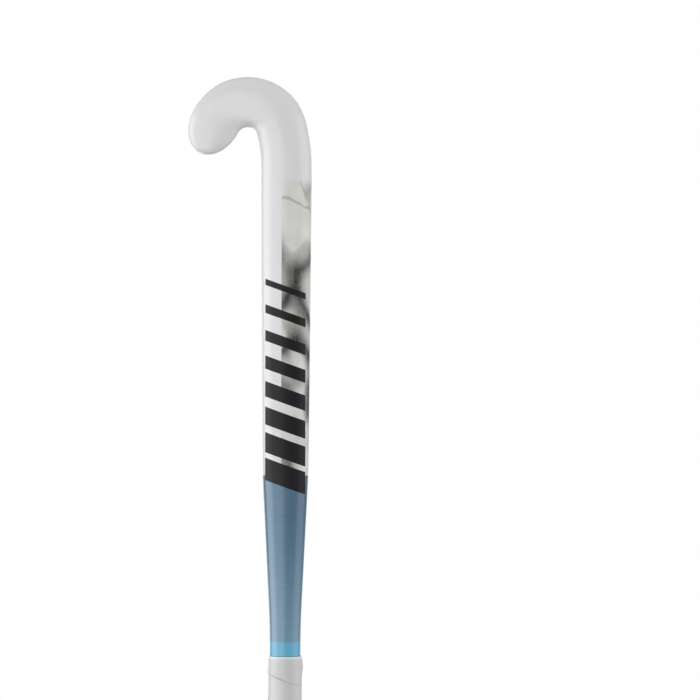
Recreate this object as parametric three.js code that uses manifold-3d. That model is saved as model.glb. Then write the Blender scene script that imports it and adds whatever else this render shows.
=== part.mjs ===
// A composite field hockey stick, head up: hollow laminate shaft and hooked head with a flat playing face,
// a foam-filled head, two inner tubes whose shared wall stiffens the shaft, a plugged and capped butt and a
// wound cushion grip. Millimetres, +Z up along the shaft, the playing face towards +Y, the toe towards -X.
// Heights are measured from the butt end, and what belongs to the head and shaft keeps its distance from the
// crown. The group then puts the middle of the grip at the origin.
import * as THREE from "three";
import { mergeVertices } from "three/addons/utils/BufferGeometryUtils.js";
import Module from "manifold-3d";

const wasm = await Module();
wasm.setup();
const { lerp, smoothstep, degToRad, clamp } = THREE.MathUtils;

// The whole stick
const STICK_LENGTH = 927; // 36.5 inches, butt end to the crown of the head
const CLEARANCE = 0.3; // glue line or running gap between neighbouring pieces
const OVERRUN = 5; // how far a cutting solid runs past what it cuts
const RING_DOME = 12; // facets round the back of a section
const RING_EDGE = 4; // facets on each rounded edge beside the playing face
const RING_FLAT = 4; // facets across the flat
const RING = RING_DOME + 2 * RING_EDGE + RING_FLAT;

// Shaft outline, seen square to the playing face
const HEAD_WIDTH = 48.9;
const NECK_WIDTH = 49.3;
const NECK_DROP = 112; // from the crown down to the widest place, below the hook
const SHOULDER_WIDTH = 44.7;
const SHOULDER_DROP = 377; // from the crown down to where the taper meets the blade of the shaft
const TAPER_LENGTH = 151; // from the shoulder down to the handle
const HANDLE_WIDTH = 29.6;
const CORNER_SOFTNESS = 22; // half the length over which each corner of the outline is eased
const NECK = STICK_LENGTH - NECK_DROP;
const SHOULDER = STICK_LENGTH - SHOULDER_DROP;
const HANDLE_TOP = SHOULDER - TAPER_LENGTH;

// Section depth: from the playing face back to the widest line, and from there to the back of the dome
const HANDLE_FACE_DEPTH = 12;
const HANDLE_BACK_DEPTH = 12;
const SHAFT_FACE_DEPTH = 6.5;
const SHAFT_BACK_DEPTH = 16;
const HEEL_BACK_DEPTH = 17.5;
const TOE_BACK_DEPTH = 13;
const SHAFT_EDGE_RADIUS = 4.5; // rounding beside the playing face
const INNER_EDGE_RADIUS = 1.5; // least rounding of the same edges inside the laminate
const HANDLE_FLAT = 4; // what is left of the flat on the oval handle
const HANDLE_DOME_POWER = 2; // 2 is an ellipse, more is squarer
const HEAD_DOME_POWER = 2.15;
const TOE_DOME_POWER = 2.8;
const MORPH_START = HANDLE_TOP - CORNER_SOFTNESS; // the oval handle turns into the flat-faced shaft
const MORPH_END = SHOULDER + CORNER_SOFTNESS;

// Hook of the head: the spine turns over towards the toe along arcs, and half an ellipse closes the toe
const LEAD_RADIUS = 147;
const HEEL_THROAT_RADIUS = 6.6; // radii of the hook's inner edge
const HOOK_THROAT_RADIUS = 10.2;
const LEAD_END = degToRad(15.5); // heading at which each arc ends
const HEEL_END = degToRad(55);
const HOOK_END = degToRad(152.7);
const TOE_LENGTH = 34.1;
const LEAD_STEPS = 2;
const HEEL_STEPS = 7;
const HOOK_STEPS = 17;
const TOE_STEPS = 9;

// Bow: a straight handle and a straight head plane, blended over the lower shaft
const BOW_CORNER_DROP = 227; // from the crown down to where the two straight lines would meet
const BOW_CORNER_DEPTH = 26; // how far back they would meet
const BOW_BLEND = 127; // half the height of the blend
const BOW_CORNER = STICK_LENGTH - BOW_CORNER_DROP;

// Laminate and what it holds
const SHAFT_WALL = 2;
const HEAD_WALL = 3.5;
const TUBE_WALL = 0.8;
const CORE_DROP = 155; // from the crown down to where the inner tubes meet the head's core
const PLUG_LENGTH = 105;
const SHAFT_STEPS = 10; // rings along the bowed blade of the shaft
const TAPER_STEPS = 7;

// Butt cap
const CAP_PLATE = 4;
const CAP_EDGE = 2.4; // rounding of the cap's outer edge
const CAP_EDGE_STEPS = 3;
const SPIGOT_RADIUS = 5;
const SPIGOT_LENGTH = 18;
const SPIGOT_SIDES = 24;
const SPIGOT_TIP = 1.5; // chamfer at the spigot's end

// Wound grip
const GRIP_BELOW_TAPER = 6;
const GRIP_TOP = MORPH_START - GRIP_BELOW_TAPER;
const GRIP_THICKNESS = 1.3;
const GRIP_PITCH = 22.7;
const GRIP_SEAM = 0.5; // gap between one turn and the next
const GRIP_BEVEL = 0.6; // along both edges of the strip
const GRIP_TAIL = 3; // width at which the strip's trimmed ends start and stop
const SEAM_DROP = 17; // from the grip's top down to the last seam, on the toe side

const material = (color, roughness, metalness = 0) =>
  new THREE.MeshStandardMaterial({ color, roughness, metalness });
const PAINT = material(0xe4e4e5, 0.38);
const CORE_FOAM = material(0xd9c58f, 0.85);
const TUBE_LAMINATE = material(0x2b2d30, 0.45);
const PLUG_FOAM = material(0xc9b98c, 0.9);
const RUBBER = material(0x2a2b2d, 0.8);
const GRIP_CUSHION = material(0xd6d6d6, 0.75);

// Outline and sections

// A straight ramp from zero, its corner eased over twice the softness.
function softRamp(distance) {
  if (distance <= -CORNER_SOFTNESS) return 0;
  if (distance >= CORNER_SOFTNESS) return distance;
  return (distance + CORNER_SOFTNESS) ** 2 / (4 * CORNER_SOFTNESS);
}

const TAPER_SLOPE = (SHOULDER_WIDTH - HANDLE_WIDTH) / (SHOULDER - HANDLE_TOP);
const BLADE_SLOPE = (NECK_WIDTH - SHOULDER_WIDTH) / (NECK - SHOULDER);

function shaftWidth(height) {
  return (
    HANDLE_WIDTH +
    TAPER_SLOPE * softRamp(height - HANDLE_TOP) +
    (BLADE_SLOPE - TAPER_SLOPE) * softRamp(height - SHOULDER) -
    BLADE_SLOPE * softRamp(height - NECK)
  );
}

// How far the playing face lies behind the line from the butt to the crown, at a height.
function bow(height) {
  const handleSlope = BOW_CORNER_DEPTH / BOW_CORNER;
  const headSlope = BOW_CORNER_DEPTH / BOW_CORNER_DROP;
  const along = height - (BOW_CORNER - BOW_BLEND);
  if (along <= 0) return -handleSlope * height;
  if (along >= 2 * BOW_BLEND) return headSlope * (height - STICK_LENGTH);
  const turn = (handleSlope + headSlope) * (along / (2 * BOW_BLEND));
  return -handleSlope * height + (turn * along) / 2;
}

// The sizes of the shaft's section at a height.
function shaftSection(height) {
  const morph = smoothstep(height, MORPH_START, MORPH_END);
  const halfWidth = shaftWidth(height) / 2;
  const back = lerp(SHAFT_BACK_DEPTH, HEEL_BACK_DEPTH, smoothstep(height, SHOULDER, STICK_LENGTH));
  return {
    halfWidth,
    face: lerp(HANDLE_FACE_DEPTH, SHAFT_FACE_DEPTH, morph),
    back: lerp(HANDLE_BACK_DEPTH, back, morph),
    edge: lerp(halfWidth - HANDLE_FLAT / 2, SHAFT_EDGE_RADIUS, morph),
    power: lerp(HANDLE_DOME_POWER, HEAD_DOME_POWER, morph),
  };
}

// The same section with a wall's thickness taken off all round.
function inset(section, wall) {
  return {
    ...section,
    halfWidth: section.halfWidth - wall,
    face: section.face - wall,
    back: section.back - wall,
    edge: wall > 0 ? Math.max(section.edge - wall, INNER_EDGE_RADIUS) : section.edge - wall,
    faceLine: section.face,
  };
}

// One closed ring of a section as [across, depth] pairs, the playing face at depth 0 and the back below it.
// It starts on the outer edge, passes over the back to the inner edge and returns across the flat face.
function ringOf(section) {
  const { halfWidth, face, back, edge, power } = section;
  const widest = -(section.faceLine ?? face);
  const curve = (value) => Math.sign(value) * Math.abs(value) ** (2 / power);
  const ring = [];
  for (let i = 0; i < RING_DOME; i++) {
    const angle = (Math.PI * i) / RING_DOME;
    ring.push([halfWidth * curve(Math.cos(angle)), widest - back * curve(Math.sin(angle))]);
  }
  for (let i = 0; i < RING_EDGE; i++) {
    const angle = ((Math.PI / 2) * i) / RING_EDGE;
    ring.push([-halfWidth + edge * (1 - Math.cos(angle)), widest + face * Math.sin(angle)]);
  }
  for (let i = 0; i < RING_FLAT; i++)
    ring.push([lerp(-halfWidth + edge, halfWidth - edge, i / RING_FLAT), widest + face]);
  for (let i = 0; i < RING_EDGE; i++) {
    const angle = (Math.PI / 2) * (1 - i / RING_EDGE);
    ring.push([halfWidth - edge * (1 - Math.cos(angle)), widest + face * Math.sin(angle)]);
  }
  return ring;
}

// A handle section's ring at a distance outside the laminate.
function handleRing(out) {
  return ringOf(inset(shaftSection(0), -out));
}

// A ring set square to the spine, at a place [x, height] and a heading turned from straight up, then bowed.
function placeRing(ring, [x, height], heading) {
  return ring.map(([across, depth]) => {
    const z = height + across * Math.sin(heading);
    return new THREE.Vector3(x + across * Math.cos(heading), depth + bow(z), z);
  });
}

// Spine of the hook

const HOOK_ARCS = [
  [LEAD_RADIUS, LEAD_END, LEAD_STEPS],
  [HEEL_THROAT_RADIUS + HEAD_WIDTH / 2, HEEL_END, HEEL_STEPS],
  [HOOK_THROAT_RADIUS + HEAD_WIDTH / 2, HOOK_END, HOOK_STEPS],
];

// Where the spine is, from the place where it leaves the straight, once it has turned to a heading.
function hookPlace(heading) {
  let [x, rise, from] = [0, 0, 0];
  for (const [radius, to] of HOOK_ARCS) {
    const until = clamp(heading, from, to);
    x -= radius * (Math.cos(from) - Math.cos(until));
    rise += radius * (Math.sin(until) - Math.sin(from));
    from = to;
  }
  return [x, rise];
}

const CROWN_RISE = hookPlace(Math.PI / 2)[1];
const HOOK_START = STICK_LENGTH - HEAD_WIDTH / 2 - CROWN_RISE;

// The headings of the rings round the hook.
function hookHeadings() {
  const headings = [];
  let from = 0;
  for (const [, to, steps] of HOOK_ARCS) {
    for (let i = 1; i <= steps; i++) headings.push(lerp(from, to, i / steps));
    from = to;
  }
  return headings;
}

// The head's section at a heading of the spine.
function headSection(heading) {
  const turned = clamp(heading / HOOK_END, 0, 1);
  const start = shaftSection(HOOK_START);
  return {
    ...start,
    halfWidth: lerp(start.halfWidth, HEAD_WIDTH / 2, smoothstep(heading, 0, HEEL_END)),
    back: lerp(start.back, TOE_BACK_DEPTH, smoothstep(turned, 1 / 3, 1)),
    power: lerp(start.power, TOE_DOME_POWER, smoothstep(turned, 1 / 5, 4 / 5)),
  };
}

// The toe's section at a share of the way from the hook's last arc to the tip.
function toeSection(share, depth) {
  const root = inset(headSection(HOOK_END), depth);
  const round = Math.sqrt(1 - share ** 2);
  const halfWidth = root.halfWidth * round;
  const intoEdge = clamp(1 - ((TOE_LENGTH - depth) * (1 - share)) / root.edge, 0, 1);
  return {
    ...root,
    halfWidth,
    back: root.back * (1 - share ** root.power) ** (1 / root.power),
    face: root.face * Math.sqrt(1 - intoEdge ** 2),
    edge: Math.min(root.edge, halfWidth * (1 - 1 / RING_FLAT)),
  };
}

// Heights at which the straight part of the stick has a ring, between two heights and with one at each.
function shaftHeights(from, to) {
  const ladder = [from, to];
  for (let i = 0; i <= TAPER_STEPS; i++) ladder.push(lerp(MORPH_START, MORPH_END, i / TAPER_STEPS));
  for (let i = 1; i <= SHAFT_STEPS; i++) ladder.push(lerp(MORPH_END, HOOK_START, i / SHAFT_STEPS));
  const inside = ladder.filter((height) => height >= from && height <= to).sort((a, b) => a - b);
  return inside.filter((height, i) => i === 0 || height - inside[i - 1] > CLEARANCE);
}

// How deep a surface lies inside the laminate's outside, as a function of height.
const onSkin = () => 0;
const TUBE_TOP = STICK_LENGTH - CORE_DROP;
const wallAt = (height) => lerp(SHAFT_WALL, HEAD_WALL, smoothstep(height, TUBE_TOP, HOOK_START));
const underWall = (gap) => (height) => wallAt(height) + gap;

function shaftRings(from, to, depthAt) {
  return shaftHeights(from, to).map((height) =>
    placeRing(ringOf(inset(shaftSection(height), depthAt(height))), [0, height], 0),
  );
}

// Rings round the hook and down the toe, and the tip's point as the last entry.
function headRings(depthAt) {
  const depth = depthAt(HOOK_START);
  const rings = hookHeadings().map((heading) => {
    const [x, rise] = hookPlace(heading);
    return placeRing(ringOf(inset(headSection(heading), depth)), [x, HOOK_START + rise], heading);
  });
  const [endX, endRise] = hookPlace(HOOK_END);
  const downToe = (share) => [
    endX - Math.sin(HOOK_END) * (TOE_LENGTH - depth) * share,
    HOOK_START + endRise + Math.cos(HOOK_END) * (TOE_LENGTH - depth) * share,
  ];
  for (let i = 1; i < TOE_STEPS; i++) {
    const share = Math.sin(((Math.PI / 2) * i) / TOE_STEPS);
    rings.push(placeRing(ringOf(toeSection(share, depth)), downToe(share), HOOK_END));
  }
  const tip = [[0, -headSection(HOOK_END).face]];
  rings.push(placeRing(tip, downToe(1), HOOK_END));
  return rings;
}

// Geometry from rings, and solids from geometry

// A closed skin over rings of equal length; an end that is a single point closes to it, and a ring is
// closed by a fan round its middle.
function loft(rings) {
  const points = [];
  const starts = [];
  const faces = [];
  for (const ring of rings) {
    starts.push(points.length);
    points.push(...ring);
  }
  for (let i = 0; i + 1 < rings.length; i++) {
    const [a, b] = [rings[i].length, rings[i + 1].length];
    for (let j = 0; j < Math.max(a, b); j++) {
      const next = (j + 1) % Math.max(a, b);
      const low = [starts[i] + (j % a), starts[i] + (next % a)];
      const high = [starts[i + 1] + (j % b), starts[i + 1] + (next % b)];
      if (a > 1) faces.push(low[0], low[1], high[0]);
      if (b > 1) faces.push(low[1], high[1], high[0]);
    }
  }
  const close = (index, turned) => {
    const ring = rings[index];
    if (ring.length === 1) return;
    const sum = new THREE.Vector3();
    ring.forEach((point) => sum.add(point));
    points.push(sum.divideScalar(ring.length));
    ring.forEach((_, j) => {
      const pair = [starts[index] + j, starts[index] + ((j + 1) % ring.length)];
      if (turned) pair.reverse();
      faces.push(points.length - 1, ...pair);
    });
  };
  close(0, true);
  close(rings.length - 1, false);
  return new THREE.BufferGeometry().setFromPoints(points).setIndex(facingOut(points, faces));
}

// The same triangles, all turned round if they enclose a negative volume.
function facingOut(points, faces) {
  let volume = 0;
  for (let i = 0; i < faces.length; i += 3) {
    const [a, b, c] = faces.slice(i, i + 3).map((index) => points[index]);
    volume += a.dot(new THREE.Vector3().crossVectors(b, c));
  }
  return volume < 0 ? [...faces].reverse() : faces;
}

function solid(geometry) {
  const bare = new THREE.BufferGeometry();
  bare.setAttribute("position", geometry.getAttribute("position"));
  bare.setIndex(geometry.getIndex());
  const merged = mergeVertices(bare);
  return new wasm.Manifold(
    new wasm.Mesh({
      numProp: 3,
      vertProperties: merged.attributes.position.array,
      triVerts: new Uint32Array(merged.index.array),
    }),
  );
}

function geometryOf(cut) {
  const mesh = cut.getMesh();
  const geometry = new THREE.BufferGeometry();
  geometry.setAttribute("position", new THREE.BufferAttribute(mesh.vertProperties, 3));
  geometry.setIndex(new THREE.BufferAttribute(mesh.triVerts, 1));
  return geometry;
}

// Follows the bow of the stick; the handle is straight there, so that ends alone are enough.
function bowed(geometry) {
  const places = geometry.getAttribute("position");
  for (let i = 0; i < places.count; i++) places.setY(i, places.getY(i) + bow(places.getZ(i)));
  return geometry;
}

// Laminate shell and its fillings

const BUTT = CAP_PLATE + CLEARANCE; // lower end of the laminate
const FILL_START = BUTT + CLEARANCE; // lower end of what lies inside it
const PLUG_TOP = FILL_START + PLUG_LENGTH;
const TUBE_START = PLUG_TOP + CLEARANCE;

// The whole stick's form from a height up to the toe, as it is at a depth inside the laminate's outside.
function stickForm(from, depthAt) {
  return loft([...shaftRings(from, HOOK_START, depthAt), ...headRings(depthAt)]);
}

function outerLaminate() {
  const hollow = solid(stickForm(BUTT - OVERRUN, underWall(0)));
  return geometryOf(solid(stickForm(BUTT, onSkin)).subtract(hollow));
}

function headCore() {
  return stickForm(TUBE_TOP + CLEARANCE, underWall(CLEARANCE));
}

// The two tubes fill the hollow side by side, and their flat walls stand back to back on the centreline.
function innerTube(side) {
  const fromMiddle = CLEARANCE / 2;
  const beyond = (distance) => {
    const box = new THREE.BoxGeometry(NECK_WIDTH, STICK_LENGTH, 2 * STICK_LENGTH);
    return solid(box.translate(side * (distance + NECK_WIDTH / 2), 0, STICK_LENGTH / 2));
  };
  const outside = loft(shaftRings(TUBE_START, TUBE_TOP, underWall(CLEARANCE)));
  const inside = loft(
    shaftRings(TUBE_START - OVERRUN, TUBE_TOP + OVERRUN, underWall(CLEARANCE + TUBE_WALL)),
  );
  const bore = solid(inside).intersect(beyond(fromMiddle + TUBE_WALL));
  return geometryOf(solid(outside).intersect(beyond(fromMiddle)).subtract(bore));
}

// A round stem on the handle's axis between two heights, with a radius at each.
function stem(lowRadius, highRadius, from, to) {
  const round = new THREE.CylinderGeometry(highRadius, lowRadius, to - from, SPIGOT_SIDES);
  round.rotateX(Math.PI / 2);
  return solid(bowed(round.translate(0, -HANDLE_FACE_DEPTH, (from + to) / 2)));
}

function handlePlug() {
  const body = solid(loft(shaftRings(FILL_START, PLUG_TOP, underWall(CLEARANCE))));
  const boreRadius = SPIGOT_RADIUS + CLEARANCE;
  const bore = stem(boreRadius, boreRadius, FILL_START - OVERRUN, CAP_PLATE + SPIGOT_LENGTH + CLEARANCE);
  return geometryOf(body.subtract(bore));
}

// The cap's plate, rounded below and as wide as the grip, with the spigot that is glued into the plug.
function buttCap() {
  const rounding = Math.min(CAP_EDGE, (2 / 3) * CAP_PLATE);
  const rings = [];
  for (let i = 0; i <= CAP_EDGE_STEPS; i++) {
    const angle = ((Math.PI / 2) * i) / CAP_EDGE_STEPS;
    const shrink = rounding * (1 - Math.sin(angle));
    const ring = handleRing(GRIP_THICKNESS - shrink);
    rings.push(placeRing(ring, [0, rounding * (1 - Math.cos(angle))], 0));
  }
  rings.push(placeRing(handleRing(GRIP_THICKNESS), [0, CAP_PLATE], 0));
  const chamferStart = CAP_PLATE + SPIGOT_LENGTH - SPIGOT_TIP;
  const spigot = stem(SPIGOT_RADIUS, SPIGOT_RADIUS, CAP_PLATE / 2, chamferStart);
  const tip = stem(SPIGOT_RADIUS, SPIGOT_RADIUS - SPIGOT_TIP, chamferStart, CAP_PLATE + SPIGOT_LENGTH);
  return geometryOf(solid(loft(rings)).add(spigot).add(tip));
}

// Wound grip: one strip, trimmed square to the handle at both ends, that climbs a pitch in each turn

const GRIP_START = CAP_PLATE + CLEARANCE;
const STRIP_WIDTH = GRIP_PITCH - GRIP_SEAM;

function gripStrip() {
  const bevel = Math.min(GRIP_BEVEL, (GRIP_THICKNESS - CLEARANCE) / 2);
  const inner = handleRing(CLEARANCE);
  const middle = handleRing(GRIP_THICKNESS - bevel);
  const outer = handleRing(GRIP_THICKNESS);
  const toeSide = RING_DOME; // the ring's point on the toe side
  const rise = GRIP_PITCH / RING;
  const seam = (step) => GRIP_TOP - SEAM_DROP + rise * (step - toeSide);
  const first = Math.ceil((GRIP_START + GRIP_TAIL - STRIP_WIDTH - seam(0)) / rise);
  const last = Math.floor((GRIP_TOP - GRIP_TAIL - seam(0)) / rise);
  const rings = [];
  for (let step = first; step <= last; step++) {
    const low = Math.max(GRIP_START, seam(step));
    const high = Math.min(GRIP_TOP, seam(step) + STRIP_WIDTH);
    const j = ((step % RING) + RING) % RING;
    const corner = (ring, height) => new THREE.Vector3(ring[j][0], ring[j][1] + bow(height), height);
    rings.push([
      corner(inner, low),
      corner(inner, high),
      corner(middle, high),
      corner(outer, high - bevel),
      corner(outer, low + bevel),
      corner(middle, low),
    ]);
  }
  const turns = (rings.length / RING).toFixed(1);
  console.log(`grip: ${turns} turns, least gap ${leastGap(rings).toFixed(2)} mm`);
  return loft(rings);
}

// Least distance, in millimetres, between the points of one turn and those of the next.
function leastGap(rings) {
  let least = Infinity;
  for (let i = 0; i + RING + 1 < rings.length; i++)
    for (const ahead of [RING - 1, RING, RING + 1])
      for (const point of rings[i])
        for (const other of rings[i + ahead]) least = Math.min(least, point.distanceTo(other));
  return least;
}

// The stick

const stick = new THREE.Group();
const gripMiddle = (GRIP_START + GRIP_TOP) / 2;
stick.position.set(0, HANDLE_FACE_DEPTH - bow(gripMiddle), -gripMiddle);

const toe = -1;
const heel = 1;
const pieces = {
  outer_laminate: [outerLaminate(), PAINT],
  head_core: [headCore(), CORE_FOAM],
  toe_side_inner_tube: [innerTube(toe), TUBE_LAMINATE],
  heel_side_inner_tube: [innerTube(heel), TUBE_LAMINATE],
  handle_plug: [handlePlug(), PLUG_FOAM],
  butt_cap: [buttCap(), RUBBER],
  grip_strip: [gripStrip(), GRIP_CUSHION],
};
for (const [name, [geometry, finish]] of Object.entries(pieces)) {
  const mesh = new THREE.Mesh(geometry, finish);
  mesh.name = name;
  stick.add(mesh);
}

export default stick;
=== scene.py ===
# Looks of a composite field hockey stick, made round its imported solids. Metres, +Z up the shaft, the
# playing face towards +Y and the toe towards -X. Heights are measured up from the butt end, as in the
# part's source.
import math
from itertools import pairwise

import bmesh
import bpy
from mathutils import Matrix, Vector


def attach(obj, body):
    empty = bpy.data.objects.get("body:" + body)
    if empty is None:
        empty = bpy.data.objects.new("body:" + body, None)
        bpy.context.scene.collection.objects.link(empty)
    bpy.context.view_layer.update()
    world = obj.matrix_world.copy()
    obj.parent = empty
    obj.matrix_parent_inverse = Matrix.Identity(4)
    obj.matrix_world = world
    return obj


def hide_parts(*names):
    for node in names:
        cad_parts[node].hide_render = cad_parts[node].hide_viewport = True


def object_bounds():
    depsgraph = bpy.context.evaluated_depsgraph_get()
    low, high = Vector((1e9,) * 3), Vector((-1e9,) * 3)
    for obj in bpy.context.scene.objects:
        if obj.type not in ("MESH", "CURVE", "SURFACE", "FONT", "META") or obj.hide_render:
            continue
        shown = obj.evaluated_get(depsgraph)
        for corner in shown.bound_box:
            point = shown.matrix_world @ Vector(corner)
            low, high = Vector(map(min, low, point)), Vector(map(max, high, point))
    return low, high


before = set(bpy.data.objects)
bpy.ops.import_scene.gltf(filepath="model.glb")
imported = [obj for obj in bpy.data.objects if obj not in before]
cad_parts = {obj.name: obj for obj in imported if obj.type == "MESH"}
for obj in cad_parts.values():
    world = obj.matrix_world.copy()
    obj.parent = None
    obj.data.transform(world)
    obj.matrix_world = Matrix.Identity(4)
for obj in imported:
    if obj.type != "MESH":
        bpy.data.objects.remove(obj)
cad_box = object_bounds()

MM = 0.001
scene = bpy.context.scene

# The stick's own sizes, the same as in the part's source
STICK_LENGTH = 927 * MM
CLEARANCE = 0.3 * MM
HEAD_WIDTH = 48.9 * MM
NECK_WIDTH = 49.3 * MM
NECK = STICK_LENGTH - 112 * MM
SHOULDER_WIDTH = 44.7 * MM
SHOULDER = STICK_LENGTH - 377 * MM
HANDLE_TOP = SHOULDER - 151 * MM
HANDLE_WIDTH = 29.6 * MM
CORNER_SOFTNESS = 22 * MM
HANDLE_FACE_DEPTH = 12 * MM
HANDLE_BACK_DEPTH = 12 * MM
SHAFT_FACE_DEPTH = 6.5 * MM
SHAFT_BACK_DEPTH = 16 * MM
HEEL_BACK_DEPTH = 17.5 * MM
TOE_BACK_DEPTH = 13 * MM
SHAFT_EDGE_RADIUS = 4.5 * MM
INNER_EDGE_RADIUS = 1.5 * MM
HANDLE_FLAT = 4 * MM
HANDLE_DOME_POWER = 2
HEAD_DOME_POWER = 2.15
TOE_DOME_POWER = 2.8
MORPH_START = HANDLE_TOP - CORNER_SOFTNESS
MORPH_END = SHOULDER + CORNER_SOFTNESS
HOOK_ARCS = (  # radius of the spine, heading at the arc's end, rings along it
    (147 * MM, math.radians(15.5), 8),
    (6.6 * MM + HEAD_WIDTH / 2, math.radians(55), 18),
    (10.2 * MM + HEAD_WIDTH / 2, math.radians(152.7), 52),
)
HEEL_END = HOOK_ARCS[1][1]
HOOK_END = HOOK_ARCS[2][1]
BACK_THINS = 1 / 3, 1  # between these shares of the hook's turn the back gets shallower
DOME_SQUARES = 1 / 5, 4 / 5  # and between these its dome gets squarer
TOE_LENGTH = 34.1 * MM
TOE_EDGE_SHARE = 3 / 4  # the most of the toe's half width that its edge's rounding takes
BOW_CORNER_DROP = 227 * MM
BOW_CORNER = STICK_LENGTH - BOW_CORNER_DROP
BOW_CORNER_DEPTH = 26 * MM
BOW_BLEND = 127 * MM
SHAFT_WALL = 2 * MM
HEAD_WALL = 3.5 * MM
TUBE_TOP = STICK_LENGTH - 155 * MM
CAP_PLATE = 4 * MM
CAP_EDGE = 2.4 * MM
SPIGOT_RADIUS = 5 * MM
SPIGOT_LENGTH = 18 * MM
SPIGOT_TIP = 1.5 * MM
BUTT = CAP_PLATE + CLEARANCE
GRIP_START = BUTT
GRIP_TOP = MORPH_START - 6 * MM
GRIP_THICKNESS = 1.3 * MM
GRIP_PITCH = 22.7 * MM
SEAM_DROP = 17 * MM

# Fineness of the visible meshes
RING = 96  # columns round a section
HANDLE_RINGS = 12
SHAFT_RINGS = 84
TOE_RINGS = 24
FINE_FROM = 350 * MM  # below this height the grip covers the laminate, and few rings do
WELD = 0.002 * MM
SHARP_ANGLE = math.radians(50)
WRAP_MAP = "wrap"  # UV map of each mesh: U over its columns, V over its rows

# Grip as it looks: turns that meet, each with a lip over the next one down
GRIP_GAP = 0.04 * MM
GRIP_TAIL = 0.4 * MM  # how narrow the trimmed ends run out
TAIL_END = 0.97  # of the last turn, just before the heel side
TAIL_TAPER = 0.07
MOST_TURNS = 20
SEAM_SWAY = 0.7 * MM  # how far a hand-wound seam sags at the back and rises at the face
SEAM_TILT = 1.1 * MM  # makes it climb steeper across the back and the face than round the sides
SEAM_LIFT = 1 * MM  # how far it rises at the toe side
LOOSE_TURN = 3 * MM  # how much lower the turns below the top one lie
LOOSE_BELOW = -0.5, 0  # the turns between which the strip eases up from there
GRIP_LIP = 0.8 * MM  # on the toe side; on the heel side the seam is pressed flat
PRESSED_SHARE = 0.15
GRIP_LIP_REACH = 2.6 * MM
GRIP_TUCK = 0.3 * MM
GRIP_EDGE = 0.65 * MM
GRIP_TOP_EDGE = 5.5 * MM
GRIP_TOP_ROLL = 1 * MM
GRIP_TOP_CURVE = 1.5
GRIP_EDGE_STEPS = 6
GRIP_CROWN_STEPS = 12
TAIL_BULGE = 1.1 * MM
TAIL_BULGE_HEIGHT = 361 * MM
TAIL_BULGE_REACH = 6.5 * MM
TAIL_BULGE_SPREAD = 0.09  # of a turn

# Butt cap as it looks
CAP_FLAT_SHARES = 0, 0.35, 0.7, 1  # rings on the flat end, from its middle out to where its edge begins
CAP_EDGE_STEPS = 8
CAP_RIM = 0.3 * MM  # bevel of the plate's inner edge
CAP_TOP_SHARE = 0.6  # ring between that edge and the spigot


# Form of the stick


def mix(low, high, share):
    return low + (high - low) * share


def clamp(value, low=0.0, high=1.0):
    return max(low, min(high, value))


def ease(value, low, high):
    share = clamp((value - low) / (high - low))
    return share * share * (3 - 2 * share)


def soft_ramp(distance):
    """A straight ramp from zero, its corner eased over twice the softness."""
    if distance <= -CORNER_SOFTNESS:
        return 0
    if distance >= CORNER_SOFTNESS:
        return distance
    return (distance + CORNER_SOFTNESS) ** 2 / (4 * CORNER_SOFTNESS)


def shaft_width(height):
    taper = (SHOULDER_WIDTH - HANDLE_WIDTH) / (SHOULDER - HANDLE_TOP)
    blade = (NECK_WIDTH - SHOULDER_WIDTH) / (NECK - SHOULDER)
    return (
        HANDLE_WIDTH
        + taper * soft_ramp(height - HANDLE_TOP)
        + (blade - taper) * soft_ramp(height - SHOULDER)
        - blade * soft_ramp(height - NECK)
    )


def bow(height):
    """How far the playing face lies behind the line from the butt to the crown, as a negative depth."""
    handle_slope = BOW_CORNER_DEPTH / BOW_CORNER
    head_slope = BOW_CORNER_DEPTH / BOW_CORNER_DROP
    along = height - (BOW_CORNER - BOW_BLEND)
    if along <= 0:
        return -handle_slope * height
    if along >= 2 * BOW_BLEND:
        return head_slope * (height - STICK_LENGTH)
    turn = (handle_slope + head_slope) * along / (2 * BOW_BLEND)
    return -handle_slope * height + turn * along / 2


# The frame's origin is the middle of the grip, on the handle's axis
ROW_Z = -(GRIP_START + GRIP_TOP) / 2
ROW_Y = HANDLE_FACE_DEPTH - bow(-ROW_Z)


def shaft_section(height):
    morph = ease(height, MORPH_START, MORPH_END)
    half = shaft_width(height) / 2
    back = mix(SHAFT_BACK_DEPTH, HEEL_BACK_DEPTH, ease(height, SHOULDER, STICK_LENGTH))
    face = mix(HANDLE_FACE_DEPTH, SHAFT_FACE_DEPTH, morph)
    return {
        "half": half,
        "face": face,
        "face_line": face,
        "back": mix(HANDLE_BACK_DEPTH, back, morph),
        "edge": mix(half - HANDLE_FLAT / 2, SHAFT_EDGE_RADIUS, morph),
        "power": mix(HANDLE_DOME_POWER, HEAD_DOME_POWER, morph),
    }


def inset(section, wall):
    """The same section with a wall's thickness taken off all round, or put on where it is negative."""
    edge = section["edge"] - wall
    return section | {
        "half": section["half"] - wall,
        "face": section["face"] - wall,
        "back": section["back"] - wall,
        "edge": max(edge, INNER_EDGE_RADIUS) if wall > 0 else edge,
    }


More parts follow.
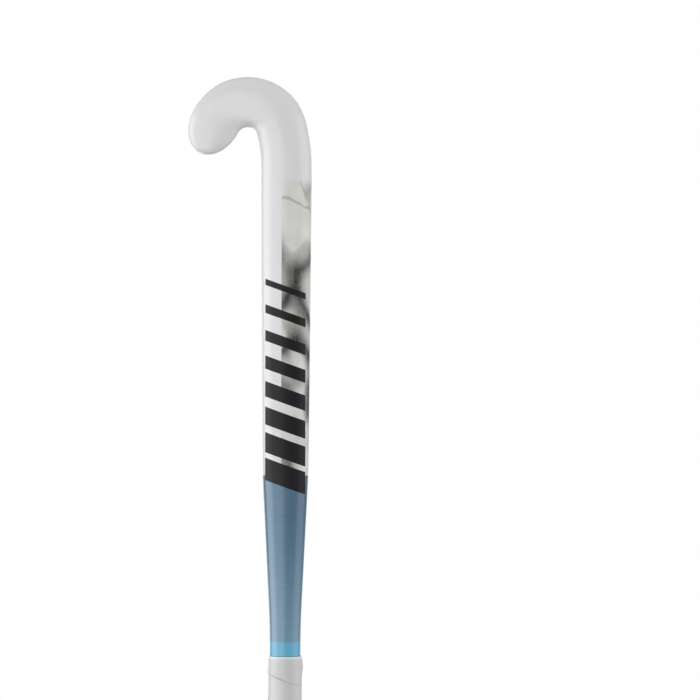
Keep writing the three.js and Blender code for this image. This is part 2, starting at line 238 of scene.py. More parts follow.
def around(section, turn):
    """A section's point, across and deep, at a share of a turn from the heel side over the back."""
    half, face, edge = section["half"], section["face"], section["edge"]
    widest = -section["face_line"]
    sixths = 6 * (turn % 1)
    if sixths < 3:  # the dome
        angle = math.pi * sixths / 3
        bend = 2 / section["power"]
        across = math.copysign(abs(math.cos(angle)) ** bend, math.cos(angle))
        return half * across, widest - section["back"] * abs(math.sin(angle)) ** bend
    if sixths < 4:  # the edge on the toe side
        angle = math.pi / 2 * (sixths - 3)
        return -half + edge * (1 - math.cos(angle)), widest + face * math.sin(angle)
    if sixths < 5:  # the flat
        return mix(-half + edge, half - edge, sixths - 4), widest + face
    angle = math.pi / 2 * (6 - sixths)  # the edge on the heel side
    return half - edge * (1 - math.cos(angle)), widest + face * math.sin(angle)


def hook_place(heading):
    """Where the hook's spine is, from where it leaves the straight, once it has turned to a heading."""
    x = rise = start = 0
    for radius, end, _ in HOOK_ARCS:
        until = clamp(heading, start, end)
        x -= radius * (math.cos(start) - math.cos(until))
        rise += radius * (math.sin(until) - math.sin(start))
        start = end
    return x, rise


HOOK_START = STICK_LENGTH - HEAD_WIDTH / 2 - hook_place(math.pi / 2)[1]


def wall_at(height):
    return mix(SHAFT_WALL, HEAD_WALL, ease(height, TUBE_TOP, HOOK_START))


def head_section(heading):
    start = shaft_section(HOOK_START)
    return start | {
        "half": mix(start["half"], HEAD_WIDTH / 2, ease(heading, 0, HEEL_END)),
        "back": mix(start["back"], TOE_BACK_DEPTH, ease(heading / HOOK_END, *BACK_THINS)),
        "power": mix(start["power"], TOE_DOME_POWER, ease(heading / HOOK_END, *DOME_SQUARES)),
    }


def toe_section(share, wall):
    """The toe's section at a share of the way to the tip, where it closes to a point."""
    root = inset(head_section(HOOK_END), wall)
    half = root["half"] * math.sqrt(1 - share**2)
    power = root["power"]
    into_edge = clamp(1 - (TOE_LENGTH - wall) * (1 - share) / root["edge"])
    return root | {
        "half": half,
        "back": root["back"] * (1 - share**power) ** (1 / power),
        "face": root["face"] * math.sqrt(1 - into_edge**2),
        "edge": min(root["edge"], half * TOE_EDGE_SHARE),
    }


def spread(low, high, steps):
    """Values after the low end up to the high one, evenly spaced."""
    return [mix(low, high, i / steps) for i in range(1, steps + 1)]


def stations(walled):
    """Sections from the butt to the toe's tip, with place and heading; walled ones line the inside."""
    found = []
    straight = spread(BUTT, FINE_FROM, HANDLE_RINGS) + spread(FINE_FROM, HOOK_START, SHAFT_RINGS)
    for height in [BUTT, *straight]:
        wall = wall_at(height) if walled else 0
        found.append((inset(shaft_section(height), wall), (0, height), 0))
    wall = HEAD_WALL if walled else 0
    start = 0
    for _, end, rings in HOOK_ARCS:
        for heading in spread(start, end, rings):
            x, rise = hook_place(heading)
            found.append((inset(head_section(heading), wall), (x, HOOK_START + rise), heading))
        start = end
    end_x, end_rise = hook_place(HOOK_END)
    for angle in spread(0, math.pi / 2, TOE_RINGS):
        share = min(math.sin(angle), 1)
        along = (TOE_LENGTH - wall) * share
        place = (
            end_x - math.sin(HOOK_END) * along,
            HOOK_START + end_rise + math.cos(HOOK_END) * along,
        )
        found.append((toe_section(share, wall), place, HOOK_END))
    return found


def in_frame(x, depth, height):
    """A point of the stick in the frame, with the bow."""
    return Vector((x, depth + bow(height) + ROW_Y, height + ROW_Z))


def on_station(station, turn):
    """A point round a station's section, in the frame."""
    section, (x, height), heading = station
    across, depth = around(section, turn)
    return in_frame(x + across * math.cos(heading), depth, height + across * math.sin(heading))


# Meshes


def put_in_scene(name, data):
    thing = bpy.data.objects.new(name, data)
    scene.collection.objects.link(thing)
    return thing


def piece_of(form, name, finishes):
    """An object of a finished bmesh, which it frees."""
    mesh = bpy.data.meshes.new(name)
    form.to_mesh(mesh)
    form.free()
    for finish in finishes:
        mesh.materials.append(finish.material)
    return put_in_scene(name, mesh)


def wrapped(name, columns, rows, place, finishes, finish_of=lambda row: 0):
    """A grid wrapped into a closed skin by a function of column and row, its meeting edges welded."""
    form = bmesh.new()
    form.loops.layers.uv.new(WRAP_MAP)
    bmesh.ops.create_grid(form, x_segments=columns, y_segments=rows, size=0.5, calc_uvs=True)
    for face in form.faces:
        face.smooth = True
        face.material_index = finish_of((face.calc_center_median().y + 0.5) * rows)
    for vert in form.verts:
        vert.co = place(round((vert.co.x + 0.5) * columns), round((vert.co.y + 0.5) * rows))
    bmesh.ops.remove_doubles(form, verts=form.verts, dist=WELD)
    bmesh.ops.recalc_face_normals(form, faces=form.faces)
    piece = piece_of(form, name, finishes)
    piece.data.set_sharp_from_angle(angle=SHARP_ANGLE)
    return piece


# Finishes

PRINT_EDGE = 0.12 * MM  # half the width of a print's soft edge


def colour(red, green, blue):
    """A colour given as a screen shows it, 0 to 255, as the linear values that nodes take."""
    channels = [c / 255 for c in (red, green, blue)]
    return (*[c / 12.92 if c <= 0.04045 else ((c + 0.055) / 1.055) ** 2.4 for c in channels], 1)


class Value:
    """A node's output that holds a number; Python's operators on it add Math nodes."""

    def __init__(self, nodes, socket):
        self.nodes, self.socket = nodes, socket

    def maths(self, operation, *terms):
        sockets = dict(enumerate(terms))
        return self.nodes.node("ShaderNodeMath", {"operation": operation}, sockets)

    def __add__(self, other):
        return self.maths("ADD", self, other)

    def __sub__(self, other):
        return self.maths("SUBTRACT", self, other)

    def __rsub__(self, other):
        return self.maths("SUBTRACT", other, self)

    def __mul__(self, other):
        return self.maths("MULTIPLY", self, other)

    def __truediv__(self, other):
        return self.maths("DIVIDE", self, other)

    def __pow__(self, other):
        return self.maths("POWER", self, other)

    def __abs__(self):
        return self.maths("ABSOLUTE", self)

    __radd__ = __add__
    __rmul__ = __mul__

    def whole(self):
        return self.maths("FLOOR", self)

    def fraction(self):
        return self.maths("FRACT", self)

    def wave(self):
        return self.maths("SINE", self)

    def or_more(self, other):
        return self.maths("MAXIMUM", self, other)

    def rises(self, edge, softness=PRINT_EDGE):
        """0 below an edge and 1 above it, eased over the softness to either side."""
        sockets = {"Value": self, "From Min": edge - softness, "From Max": edge + softness}
        return self.nodes.node("ShaderNodeMapRange", {"interpolation_type": "SMOOTHSTEP"}, sockets)

    def within(self, low, high, softness=PRINT_EDGE):
        return self.rises(low, softness) * (1 - self.rises(high, softness))


class Nodes:
    """A node tree, made node by node."""

    MIX_FACTOR, MIX_A, MIX_B, MIX_RESULT = 0, 6, 7, 2  # a colour Mix node's sockets

    def __init__(self, tree):
        self.tree = tree
        tree.nodes.clear()

    def node(self, kind, settings=None, sockets=None, output=0):
        """A new node's output: the settings go first, then the values or links of its sockets."""
        made = self.tree.nodes.new(kind)
        for name, value in (settings or {}).items():
            setattr(made, name, value)
        for name, value in (sockets or {}).items():
            self.feed(made.inputs[name], value)
        return Value(self, made.outputs[output]) if made.outputs else made

    def feed(self, entry, value):
        if isinstance(value, Value):
            self.tree.links.new(value.socket, entry)
        else:
            entry.default_value = value

    def place(self):
        """Where a point of the piece is, in the frame."""
        return self.node("ShaderNodeTexCoord", output="Object")

    def rays(self, *names):
        """For each kind of ray, 1 where light is traced along one of that kind."""
        path = self.node("ShaderNodeLightPath").socket.node
        return [Value(self, path.outputs[name]) for name in names]

    def parts(self, vector):
        split = self.node("ShaderNodeSeparateXYZ", sockets={"Vector": vector}).socket.node
        return [Value(self, out) for out in split.outputs]

    def noise(self, vector, scale, detail=2, roughness=0.5, distortion=0):
        sockets = {"Vector": vector, "Scale": scale, "Detail": detail, "Roughness": roughness}
        return self.node("ShaderNodeTexNoise", sockets=sockets | {"Distortion": distortion})

    def stretched(self, vector, scale, turned=(0, 0, 0), moved=(0, 0, 0)):
        sockets = {"Vector": vector, "Scale": scale, "Rotation": turned, "Location": moved}
        return self.node("ShaderNodeMapping", sockets=sockets)

    def blend(self, under, over, mask):
        """One colour laid over another where the mask is 1."""
        sockets = {self.MIX_FACTOR: mask, self.MIX_A: under, self.MIX_B: over}
        return self.node("ShaderNodeMix", {"data_type": "RGBA"}, sockets, self.MIX_RESULT)


class Finish(Nodes):
    """A material whose Principled shader takes plain values at once and links when they are ready."""

    def __init__(self, name, **plain):
        self.material = bpy.data.materials.new(name)
        self.material.use_nodes = True
        super().__init__(self.material.node_tree)
        self.lit = self.node("ShaderNodeBsdfPrincipled")
        self.shader = self.lit.socket.node
        self.surface = self.node("ShaderNodeOutputMaterial").inputs["Surface"]
        self.feed(self.surface, self.lit)
        self.set(**plain)

    def set(self, **sockets):
        for name, value in sockets.items():
            self.feed(self.shader.inputs[name.replace("_", " ")], value)

    def relief(self, height):
        """Bumps of the surface, from heights in metres."""
        sockets = {"Height": height, "Distance": 1, "Strength": 1}
        self.set(Normal=self.node("ShaderNodeBump", sockets=sockets))


NOISE_MIDDLE = 0.5  # the value that noise lies about


def cross_weave(along, across, pitch):
    """Threads that pass over and under each other: 0 in the gaps, 1 on the crowns."""
    turn = 2 * math.pi / pitch
    return (along * turn).wave() * (across * turn).wave() * 0.5 + 0.5


# Marble of the heel side

PALE_STONE = colour(228, 229, 223)
GREY_STONE = colour(208, 210, 203)
SMOKE = colour(12, 13, 10)
MARBLE_PLACE = (2.2087, 1.26, -0.031)  # where in the noise the marble is cut from
MARBLE_LEAN = math.radians(20)
MARBLE_SQUEEZE = 0.6  # of heights, so that its drifts run long up the shaft
THREAD_WIDTH = 0.024  # in values of the noise, as the drifts' widths are
THREAD_DARKNESS = 0.36
DRIFT_WIDTH = 0.15
THINNEST_DRIFT = 0.01
DRIFT_DARKNESS = 0.98
DARK_HEEL_FROM = 18 * MM  # off the middle, towards the heel side
DARK_HEEL_SOFTNESS = 5 * MM
LEAST_GRIT, GRIT_SPREAD = 0.9, 0.2


def marble_print(paint, place, x):
    """Pale stone with smoke in thin threads and dark drifts, which gather most of all by the heel."""
    stone = paint.stretched(place, (1, 1, MARBLE_SQUEEZE), (0, MARBLE_LEAN, 0), MARBLE_PLACE)
    off_curve = abs(paint.noise(stone, scale=24, detail=1.5, roughness=0.4, distortion=0.5) - NOISE_MIDDLE)

    def along_curves(width):
        return 1 - (off_curve / width).rises(0.5, softness=0.5)

    by_heel = x.rises(DARK_HEEL_FROM, DARK_HEEL_SOFTNESS)
    by_heel = by_heel * paint.noise(stone, scale=22, detail=1).rises(0.45, softness=0.1)
    gather = paint.noise(stone, scale=17, detail=1).rises(0.47, softness=0.1).or_more(by_heel)
    thread = along_curves(THREAD_WIDTH) * THREAD_DARKNESS
    drift = along_curves(gather * DRIFT_WIDTH + THINNEST_DRIFT) * gather * DRIFT_DARKNESS
    grit = paint.noise(place, scale=340, detail=3, roughness=0.7).rises(NOISE_MIDDLE, softness=0.3)
    cloud = paint.noise(stone, scale=60, detail=3).rises(NOISE_MIDDLE, softness=0.25)
    pale = paint.blend(PALE_STONE, GREY_STONE, cloud)
    return paint.blend(pale, SMOKE, thread.or_more(drift) * (LEAST_GRIT + grit * GRIT_SPREAD))


# Paint of the shell

WHITE_PAINT = colour(231, 231, 233)
CLOUDED_WHITE = colour(226, 226, 227)
CRACKLE_GREY = colour(206, 207, 205)
CRACK_WIDTH = 0.03  # in values of the noise
CRACKLE_STRENGTH = 0.4
CRACKLE_FADE = 60 * MM

PANEL_TOP = 828 * MM
PANEL_FADE = 3 * MM
PANEL_SIDE = -3.7 * MM  # the marble runs from here to the heel side

DEEP_BLUE = colour(75, 118, 148)
PALE_BLUE = colour(110, 152, 180)
HOOP_BLUE = colour(46, 72, 100)
BLUE_TOP = 544.2 * MM
FADE_MIDDLE = 445 * MM  # the blue pales towards the handle about here
FADE_HALF = 75 * MM
HOOP_FINENESS = 16  # of the laminate's hoops up the shaft, against across it
HOOP_STRENGTH = 0.22
WEAVE_PITCH = 2.6 * MM
WEAVE_HEIGHT = 0.006 * MM

BAND_BLUE = colour(86, 177, 212)
BAND_SHADE = colour(44, 92, 112)
BAND_TOP = 384.9 * MM
BAND_SHADE_HEIGHT = 0.5 * MM  # above the grip, whose edge shades the band
BAND_SHADE_SOFTNESS = 0.4 * MM
BAND_SHADE_STRENGTH = 0.8

STRIPE_BLACK = colour(22, 22, 27)
STRIPES_FROM = 533 * MM
STRIPES = 8
STRIPE_PITCH = 26.6 * MM
THICK_STRIPE = 21.5 * MM
THIN_STRIPE = 6 * MM
STRIPE_HALF_LENGTH = 19.2 * MM
STRIPE_SLANT = 0.36
STRIPE_FILM = 0.02 * MM  # how proud of the paint the stripes stand
PEEL_HEIGHT = 0.02 * MM  # of the lacquer's orange peel


def white_paint(paint, place, height):
    """Off-white with a faint cloud, and a fine crackle beside the lower stripes."""
    white = paint.blend(WHITE_PAINT, CLOUDED_WHITE, paint.noise(place, scale=14, detail=3))
    off_crack = abs(paint.noise(place, scale=75, detail=4, roughness=0.6, distortion=0.8) - NOISE_MIDDLE)
    cracks = 1 - off_crack.rises(CRACK_WIDTH, softness=CRACK_WIDTH)
    by_stripes = 1 - height.rises(STRIPES_FROM + STRIPES * STRIPE_PITCH / 2, CRACKLE_FADE)
    return paint.blend(white, CRACKLE_GREY, cracks * by_stripes * CRACKLE_STRENGTH)


def blue_paint(paint, place, deep, weave):
    """Blue that pales towards the handle, with the laminate's hoops and weave just showing through."""
    hoops = paint.noise(paint.stretched(place, (1, 1, HOOP_FINENESS)), scale=60, detail=3, roughness=0.6)
    laminate = (hoops * 0.8 + weave * 0.2).rises(0.55, softness=0.3)
    return paint.blend(paint.blend(PALE_BLUE, DEEP_BLUE, deep), HOOP_BLUE, laminate * HOOP_STRENGTH)


def stripe_print(x, height):
    """1 on slanted stripes across the back that thin out towards the head."""
    climb = height + x * STRIPE_SLANT - STRIPES_FROM
    number = (climb / STRIPE_PITCH).whole()
    thickness = THICK_STRIPE - number * ((THICK_STRIPE - THIN_STRIPE) / (STRIPES - 1))
    rest = thickness - (climb - number * STRIPE_PITCH)
    stripe = rest.rises(0) * climb.within(0, STRIPES * STRIPE_PITCH)
    return stripe * (1 - abs(x).rises(STRIPE_HALF_LENGTH))


def stick_paint():
    """Satin paint: white head, marbled heel side, stripes, blue shaft and a light blue band by the grip,
    with painted shade along the band's foot where the grip meets it.
    """
    paint = Finish("satin_stick_paint", Coat_Roughness=0.25, Coat_IOR=2, Specular_IOR_Level=0.3)
    place = paint.place()
    x, _, z = paint.parts(place)
    height = z - ROW_Z

    above_blue = height.rises(BLUE_TOP)
    panel = x.rises(PANEL_SIDE) * above_blue * (1 - height.rises(PANEL_TOP - PANEL_FADE, PANEL_FADE))
    tone = paint.blend(white_paint(paint, place, height), marble_print(paint, place, x), panel)
    deep = height.rises(FADE_MIDDLE, FADE_HALF)
    weave = cross_weave(height + x, height - x, WEAVE_PITCH)
    tone = paint.blend(blue_paint(paint, place, deep, weave), tone, above_blue)
    tone = paint.blend(tone, BAND_BLUE, 1 - height.rises(BAND_TOP))
    # Painted shade: a dark line on the band just above the grip, where the grip's top edge shades it
    grip_edge_shade = 1 - height.rises(GRIP_TOP + BAND_SHADE_HEIGHT, BAND_SHADE_SOFTNESS)
    tone = paint.blend(tone, BAND_SHADE, grip_edge_shade * BAND_SHADE_STRENGTH)
    stripe = stripe_print(x, height)
    tone = paint.blend(tone, STRIPE_BLACK, stripe)

    coloured = 1 - above_blue
    flake = coloured * (1 - stripe)
    grain = paint.noise(place, scale=900)
    paint.set(
        Base_Color=tone,
        Metallic=flake * deep * 0.3,
        Roughness=0.42 - flake * 0.06 - stripe * 0.05 + grain * 0.04,
        Coat_Weight=1 - stripe * 0.9,
    )
    peel = paint.noise(place, scale=260) * PEEL_HEIGHT
    paint.relief(peel + stripe * STRIPE_FILM + weave * coloured * WEAVE_HEIGHT)
    return paint


# Bare laminate of the shell's inside and of the tubes

RESIN_BLACK = colour(30, 31, 34)
TOW_GREY = colour(54, 56, 60)
TOW_WIDTH = 2 * MM
TOWS_PER_TWILL = 4  # two over and two under
TOW_HEIGHT = 0.05 * MM
STRAND_PITCH = 0.25 * MM
STRAND_HEIGHT = 0.004 * MM


def bare_laminate(name):
    """Unpainted carbon laminate: a twill of flat tows under a thin skin of resin."""
    laminate = Finish(name, Coat_Weight=0.4, Coat_Roughness=0.2, Specular_IOR_Level=0.5)
    x, y, z = laminate.parts(laminate.place())
    column = ((x + y) / TOW_WIDTH).whole()
    row = (z / TOW_WIDTH).whole()
    over = ((column + row) / TOWS_PER_TWILL).fraction().rises(0.5, softness=0.02)
    strands = (z * (2 * math.pi / STRAND_PITCH)).wave() * 0.5 + 0.5
    laminate.set(
        Base_Color=laminate.blend(RESIN_BLACK, TOW_GREY, over),
        Roughness=0.36 + over * 0.14 + strands * 0.04,
    )
    laminate.relief(over * TOW_HEIGHT + strands * STRAND_HEIGHT)
    return laminate


# Foams of the core and the plug

CORE_PALE = colour(222, 203, 150)
CORE_DARK = colour(196, 172, 118)
CORE_CELL = 0.6 * MM
PLUG_PALE = colour(208, 193, 150)
PLUG_DARK = colour(184, 166, 122)
PLUG_CELL = 0.35 * MM
CELL_DEPTH = 0.3  # of a cell's size


def foam(name, pale, dark, cell):
    """Rigid foam, with cells of about the given size cut open at its surface."""
    block = Finish(name, Specular_IOR_Level=0.25)
    place = block.place()
    cells = block.node("ShaderNodeTexVoronoi", {"feature": "F1"}, {"Vector": place, "Scale": 1 / cell})
    cloud = block.noise(place, scale=45, detail=3)
    block.set(
        Base_Color=block.blend(pale, dark, cloud * 0.6 + (1 - cells) * 0.3),
        Roughness=0.8 + cells * 0.12,
    )
    block.relief(cells * (CELL_DEPTH * cell))
    return block


# Rubber of the butt cap

RUBBER_BLACK = colour(40, 41, 43)
RUBBER_BLOOM = colour(54, 55, 57)
MOULD_GRAIN_HEIGHT = 0.03 * MM


def moulded_rubber():
    """Matt black rubber with the fine grain of its mould and a faint bloom."""
    rubber = Finish("moulded_cap_rubber", Specular_IOR_Level=0.4)
    place = rubber.place()
    grain = rubber.noise(place, scale=1400, detail=3)
    bloom = rubber.noise(place, scale=90, detail=3)
    rubber.set(Base_Color=rubber.blend(RUBBER_BLACK, RUBBER_BLOOM, bloom), Roughness=0.62 + grain * 0.2)
    rubber.relief(grain * MOULD_GRAIN_HEIGHT)
    return rubber


# Cushion of the grip

CUSHION_WHITE = colour(212, 212, 213)
CLOUDED_CUSHION = colour(203, 203, 203)
LUMP_GREY = colour(193, 193, 192)
LUMP_STRENGTH = 0.35
LUMP_HEIGHT = 0.06 * MM
EMBOSS_PITCH = 0.9 * MM
EMBOSS_HEIGHT = 0.02 * MM
# Painted shade of the seams: dark in the grooves between turns, and a soft grey band beside them
SEAM_SHADE_GREY = colour(112, 112, 112)
GROOVE_COLUMNS, GROOVE_SOFTNESS = 6, 0.8  # columns of the strip's outline from the middle of its underside
BESIDE_SEAM_COLUMNS, BESIDE_SEAM_SOFTNESS = 8.6, 0.6
GROOVE_SHADE_STRENGTH = 0.8
BESIDE_SEAM_SHADE = 0.12
SEAM_SHADE_FADES_OVER = 5 * MM  # to either side of the middle
HEEL_SIDE_SHADE_FADE = 0.85  # how much fainter the seams' painted shade is on the heel side
# Painted highlight along the grip's top edge, with a little of the band's blue reflected in it
TOP_EDGE_HIGHLIGHT = colour(226, 236, 239)
TOP_HIGHLIGHT_DEPTH = 2 * MM
TOP_HIGHLIGHT_SOFTNESS = 1.2 * MM


def cushion_strip(length, girth):
    """White cushioned polyurethane with a fine cloth-like emboss, greyer with painted shade along its
    lapped edges, and with a painted highlight along its top edge.
    """
    strip = Finish("white_grip_cushion", Specular_IOR_Level=0.9, IOR=2)
    place = strip.place()
    x, _, z = strip.parts(place)
    lap, run, _ = strip.parts(strip.node("ShaderNodeUVMap", {"uv_map": WRAP_MAP}))

    def lapped(columns, softness):
        """1 on the strip's underside and, so many columns from its middle, up round both edges."""
        reach = columns / len(PROFILE)
        return 1 - lap.within(reach, 1 - reach, softness / len(PROFILE))

    lumps = strip.noise(place, scale=240, detail=3, roughness=0.6)
    tone = strip.blend(CUSHION_WHITE, CLOUDED_CUSHION, strip.noise(place, scale=55, detail=3))
    tone = strip.blend(tone, LUMP_GREY, lumps.rises(0.6, softness=0.2) * LUMP_STRENGTH)
    # Painted shade along the seams, fainter on the heel side and left off under the top edge's painted
    # highlight
    groove_shade = lapped(GROOVE_COLUMNS, GROOVE_SOFTNESS) * GROOVE_SHADE_STRENGTH
    beside_seam_shade = lapped(BESIDE_SEAM_COLUMNS, BESIDE_SEAM_SOFTNESS) * BESIDE_SEAM_SHADE
    # Painted highlight on the grip's rounded top edge
    top = (z - ROW_Z).rises(GRIP_TOP - TOP_HIGHLIGHT_DEPTH, TOP_HIGHLIGHT_SOFTNESS)
    seam_shade_share = (1 - x.rises(0, SEAM_SHADE_FADES_OVER) * HEEL_SIDE_SHADE_FADE) * (1 - top)
    tone = strip.blend(tone, SEAM_SHADE_GREY, groove_shade.or_more(beside_seam_shade) * seam_shade_share)
    tone = strip.blend(tone, TOP_EDGE_HIGHLIGHT, top)
    strip.set(Base_Color=tone, Roughness=0.4 + lumps * 0.14)
    emboss = cross_weave(run * length, lap * girth, EMBOSS_PITCH)
    strip.relief(emboss * EMBOSS_HEIGHT + lumps * LUMP_HEIGHT)
    return strip


# Painted shell: the outside from the toe's tip down to the butt, then the inside back up

outside, inside = stations(walled=False), stations(walled=True)
skin = [*reversed(outside), *inside]
painted_shell = wrapped(
    "painted_shell",
    RING,
    len(skin) - 1,
    lambda column, row: on_station(skin[row], column / RING),
    [stick_paint(), bare_laminate("bare_shell_lining")],
    lambda row: int(row > len(outside) - 1),
)

# Wound grip

STRIP_WIDTH = GRIP_PITCH - GRIP_GAP
HANDLE = shaft_section(0)


def toe_side(turns):
    """1 where the strip passes the toe side of the handle, 0 where it passes the heel side."""
    return 0.5 - 0.5 * math.cos(2 * math.pi * turns)


def seam(turns):
    """Height of the strip's low edge after so many turns, counted so that the first half turn ends at
    the toe side on the last seam below the grip's top."""
    low = GRIP_TOP - SEAM_DROP + GRIP_PITCH * (turns - 0.5)
    low -= SEAM_SWAY * math.sin(2 * math.pi * turns) + SEAM_TILT * math.sin(4 * math.pi * turns)
    low += SEAM_LIFT * toe_side(turns) ** 2 - LOOSE_TURN * (1 - ease(turns, *LOOSE_BELOW))
    return mix(low, GRIP_TOP, ease(turns, TAIL_END - TAIL_TAPER, TAIL_END))


def on_handle(turns):
    """Whether the strip is wide enough to show after so many turns."""
    low = seam(turns)
    return low + STRIP_WIDTH > GRIP_START + GRIP_TAIL and low < GRIP_TOP - GRIP_TAIL


steps = [step for step in range(-MOST_TURNS * RING, MOST_TURNS * RING) if on_handle(step / RING)]
first_turn, last_turn = steps[0] / RING, steps[-1] / RING
strip_rows = len(steps) + 1


def strip_profile():
    """The strip's outline as (which part of it, angle or share along that part): see strip_outline."""
    quarter = [math.pi / 2 * i / GRIP_EDGE_STEPS for i in range(GRIP_EDGE_STEPS + 1)]
    low_edge = [("low", angle) for angle in quarter]
    high_edge = [("high", angle) for angle in reversed(quarter)]
    crown = [("crown", share) for share in spread(0, 1, GRIP_CROWN_STEPS)[:-1]]
    return [("inner", 0.5), ("inner", 0), *low_edge, *crown, *high_edge, ("inner", 1)]


PROFILE = strip_profile()


def swelling(turns, height):
    """Extra thickness where the strip's trimmed end is tucked in, on the heel side near the top."""
    from_heel = abs((turns + 0.5) % 1 - 0.5) / TAIL_BULGE_SPREAD
    from_middle = (height - TAIL_BULGE_HEIGHT) / TAIL_BULGE_REACH
    return TAIL_BULGE * math.exp(-(from_heel**2) - from_middle**2)


def strip_outline(turns, low, high, part, along):
    """Height of a point of the strip's outline, and how far out from the handle it lies."""
    if part == "inner":
        return mix(low, high, along), CLEARANCE
    trimmed = high == GRIP_TOP
    looseness = mix(PRESSED_SHARE, 1, toe_side(turns))
    # The two rounded edges stay apart where the strip runs narrow
    low_round = min(GRIP_EDGE * looseness, (high - low) / 3)
    high_round = min(GRIP_TOP_EDGE if trimmed else GRIP_EDGE * looseness, (high - low) / 2)
    if part == "low":
        height, drop = low + low_round * (1 - math.cos(along)), low_round * (1 - math.sin(along))
    elif part == "crown":
        height, drop = mix(low + low_round, high - high_round, along), 0
    elif trimmed:
        height = high - high_round * (1 - math.cos(along))
        drop = min(GRIP_TOP_ROLL, high_round) * math.cos(along) ** GRIP_TOP_CURVE
    else:
        height, drop = high - high_round * (1 - math.cos(along)), high_round * (1 - math.sin(along))
    lip = GRIP_LIP * looseness * math.exp(-(height - low) / GRIP_LIP_REACH) if low > GRIP_START else 0
    tuck = 0 if trimmed else GRIP_TUCK * looseness * math.exp(-(high - height) / GRIP_LIP_REACH)
    return height, GRIP_THICKNESS + lip - tuck - drop + swelling(turns, height)


def strip_point(column, row):
    turns = mix(first_turn, last_turn, clamp((row - 1) / (strip_rows - 2)))
    low = max(GRIP_START, seam(turns))
    high = min(GRIP_TOP, seam(turns + 1) - GRIP_GAP)
    if row in (0, strip_rows):  # both ends close to a point
        height, out = (low + high) / 2, GRIP_THICKNESS / 2
    else:
        height, out = strip_outline(turns, low, high, *PROFILE[column % len(PROFILE)])
    across, depth = around(inset(HANDLE, -out), turns)
    return in_frame(across, depth, height)


bare_handle = inset(HANDLE, -GRIP_THICKNESS), (0, 0), 0
handle_points = [on_station(bare_handle, i / RING) for i in range(RING + 1)]
handle_girth = sum((b - a).length for a, b in pairwise(handle_points))
grip_wrap = wrapped(
    "cushion_grip_wrap",
    len(PROFILE),
    strip_rows,
    strip_point,
    [cushion_strip((last_turn - first_turn) * handle_girth, 2 * STRIP_WIDTH)],
)

# Butt cap: from the middle of its flat end out and up round the plate, then up the spigot


def cap_stations():
    """Rings as (shape, scale of the plate's outline or radius of the spigot, how far in, height)."""
    plate = [("plate", share, CAP_EDGE, 0) for share in CAP_FLAT_SHARES]
    for angle in spread(0, math.pi / 2, CAP_EDGE_STEPS):
        plate.append(("plate", 1, CAP_EDGE * (1 - math.sin(angle)), CAP_EDGE * (1 - math.cos(angle))))
    plate += [
        ("plate", 1, 0, CAP_PLATE - CAP_RIM),
        ("plate", 1, CAP_RIM, CAP_PLATE),
        ("plate", CAP_TOP_SHARE, 0, CAP_PLATE),
    ]
    end = CAP_PLATE + SPIGOT_LENGTH
    spigot = [
        (SPIGOT_RADIUS, CAP_PLATE),
        (SPIGOT_RADIUS, end - SPIGOT_TIP),
        (SPIGOT_RADIUS - SPIGOT_TIP, end),
        (0, end),
    ]
    return plate + [("spigot", radius, 0, height) for radius, height in spigot]


CAP_STATIONS = cap_stations()


def cap_point(column, row):
    shape, size, inward, height = CAP_STATIONS[row]
    across, depth = around(inset(HANDLE, inward - GRIP_THICKNESS), column / RING)
    from_axis = Vector((across, depth + HANDLE_FACE_DEPTH, 0))
    from_axis = from_axis.normalized() * size if shape == "spigot" else from_axis * size
    return in_frame(from_axis.x, from_axis.y - HANDLE_FACE_DEPTH, height)


butt_cap = wrapped("rubber_butt_cap", RING, len(CAP_STATIONS) - 1, cap_point, [moulded_rubber()])

# Pieces that stay as the part's own solids, with their finishes

tubes = bare_laminate("bare_tube_laminate")
carried = {
    "head_core": foam("rigid_core_foam", CORE_PALE, CORE_DARK, CORE_CELL),
    "toe_side_inner_tube": tubes,
    "heel_side_inner_tube": tubes,
    "handle_plug": foam("dense_plug_foam", PLUG_PALE, PLUG_DARK, PLUG_CELL),
}
for node, finish in carried.items():
    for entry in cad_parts[node].material_slots:
        entry.material = finish.material

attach(painted_shell, "root")
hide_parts("outer_laminate")

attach(grip_wrap, "root")
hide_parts("grip_strip")

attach(butt_cap, "root")
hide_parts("butt_cap")

# Studio: a white backdrop with a dim room in front of it, tall soft lamps, and a pale floor at the butt

scene.view_settings.view_transform = "Standard"

WHITE_LIGHT = (1, 1, 1, 1)
ROOM_IN_FRONT = 0.25  # how bright the dim room in front shows in gloss, where the backdrop is 1
BACKDROP_EDGE = 0.88  # gloss shows the backdrop in directions that point this much away from the camera
BACKDROP_SOFTNESS = 0.07
EVEN_LIGHT = 0.3
CEILING_LIGHT = 0.52
HEEL_WALL_LIGHT = 0.54
BACKDROP_LIGHT = 0.2

LAMP_DISTANCE = 1.6
LAMP_HEIGHT = 0.35
LAMP_LENGTH = 2.6
LAMPS = (  # name, azimuth in degrees, width, power in watts; 0 is the camera's side and 90 the heel's
    ("key_lamp", -76, 1.6, 17.6),
    ("front_lamp", -25, 1.2, 6.6),
    ("fill_lamp", 76, 1.6, 5.4),
    ("face_lamp", -148, 0.9, 6.5),
)

FLOOR_HALF_WIDTH = 4
FLOOR_WHITE = colour(238, 238, 238)
FLOOR_CLEARS_AT = 0.55  # how far from the stick the floor turns to the backdrop's white
FLOOR_CLEARS_OVER = 0.45
FLOOR_GLOW = 0.55  # how much of that white it has beside the stick


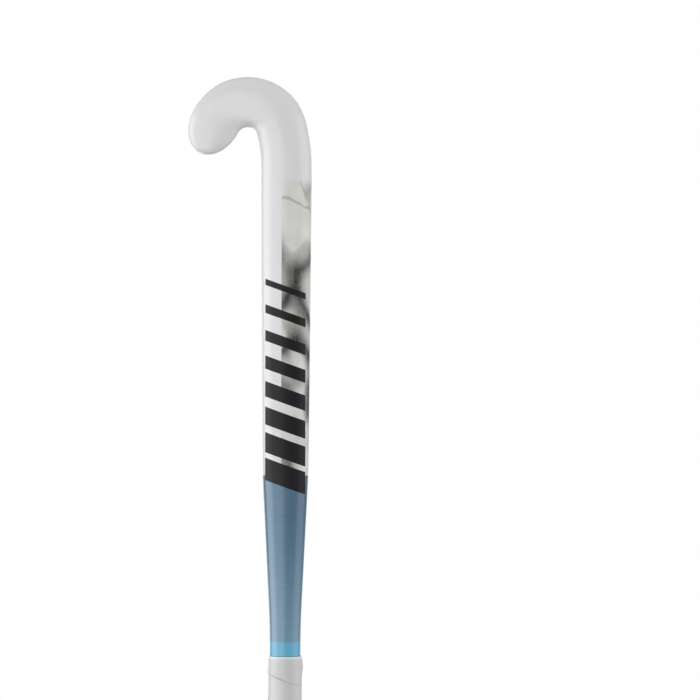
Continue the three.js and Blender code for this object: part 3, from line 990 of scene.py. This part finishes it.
def studio_world():
    world = bpy.data.worlds.new("studio")
    world.use_nodes = True
    scene.world = world
    room = Nodes(world.node_tree)
    seen, shiny, through = room.rays("Is Camera Ray", "Is Glossy Ray", "Is Transmission Ray")
    side, away, up = room.parts(room.node("ShaderNodeTexCoord", output="Generated"))
    mirrored = ROOM_IN_FRONT + away.rises(BACKDROP_EDGE, BACKDROP_SOFTNESS) * (1 - ROOM_IN_FRONT)
    walls = side.or_more(0) * HEEL_WALL_LIGHT + away.or_more(0) * BACKDROP_LIGHT
    spread_light = up.or_more(0) * CEILING_LIGHT + walls + EVEN_LIGHT
    direct = seen.or_more(through)
    strength = direct + (1 - direct) * (shiny * mirrored + (1 - shiny) * spread_light)
    light = room.node("ShaderNodeBackground", sockets={"Color": WHITE_LIGHT, "Strength": strength})
    room.node("ShaderNodeOutputWorld", sockets={"Surface": light})


def soft_lamp(name, azimuth, width, power):
    """A tall soft lamp that faces the stick."""
    lamp = bpy.data.lights.new(name, "AREA")
    lamp.shape = "RECTANGLE"
    lamp.size = width
    lamp.size_y = LAMP_LENGTH
    lamp.energy = power
    stand = put_in_scene(name, lamp)
    angle = math.radians(azimuth)
    toward = Vector((math.sin(angle), -math.cos(angle), 0))
    stand.location = toward * LAMP_DISTANCE + Vector((0, 0, LAMP_HEIGHT))
    stand.rotation_euler = toward.to_track_quat("Z", "Y").to_euler()
    stand.visible_camera = False


def floor_finish():
    """Pale floor that runs out into the white of the backdrop round the stick's shadow."""
    pale = Finish("pale_floor", Base_Color=FLOOR_WHITE, Roughness=0.8, Specular_IOR_Level=0.1)
    x, y, _ = pale.parts(pale.place())
    far = ((x * x + y * y) ** 0.5).rises(FLOOR_CLEARS_AT, FLOOR_CLEARS_OVER)
    [seen] = pale.rays("Is Camera Ray")
    white = pale.node("ShaderNodeEmission", sockets={"Color": WHITE_LIGHT, "Strength": 1})
    glow = seen * (FLOOR_GLOW + far * (1 - FLOOR_GLOW))
    pale.feed(pale.surface, pale.node("ShaderNodeMixShader", sockets={0: glow, 1: pale.lit, 2: white}))
    return pale


studio_world()
for lamp_row in LAMPS:
    soft_lamp(*lamp_row)

# The floor is seen and takes the stick's shadow, but neither lights the stick nor keeps light from it
floor_form = bmesh.new()
bmesh.ops.create_grid(floor_form, x_segments=1, y_segments=1, size=FLOOR_HALF_WIDTH)
bmesh.ops.translate(floor_form, verts=floor_form.verts, vec=(0, 0, cad_box[0].z))
floor = piece_of(floor_form, "floor", [floor_finish()])
floor.visible_diffuse = False
floor.visible_glossy = False
floor.visible_shadow = False

# Camera: a long lens square to the back, with the stick left of the middle as in the photograph

FRAME_WIDTH = 0.672
FRAME_MIDDLE_X = 61.67 * MM
FRAME_MIDDLE_HEIGHT = 664.2 * MM
FRAME_LEAN = math.radians(0.11)  # the stick leans that little to the right in its picture
LENS = 180
SENSOR = 36
CLIP_END = 100
camera = bpy.data.cameras.new("camera")
camera.lens = LENS
camera.sensor_width = SENSOR
camera.clip_end = CLIP_END
distance = FRAME_WIDTH * LENS / SENSOR
tripod = put_in_scene("camera", camera)
tripod.location = (FRAME_MIDDLE_X, -distance, FRAME_MIDDLE_HEIGHT + ROW_Z)
tripod.rotation_euler = (math.pi / 2, -FRAME_LEAN, 0)
scene.camera = tripod
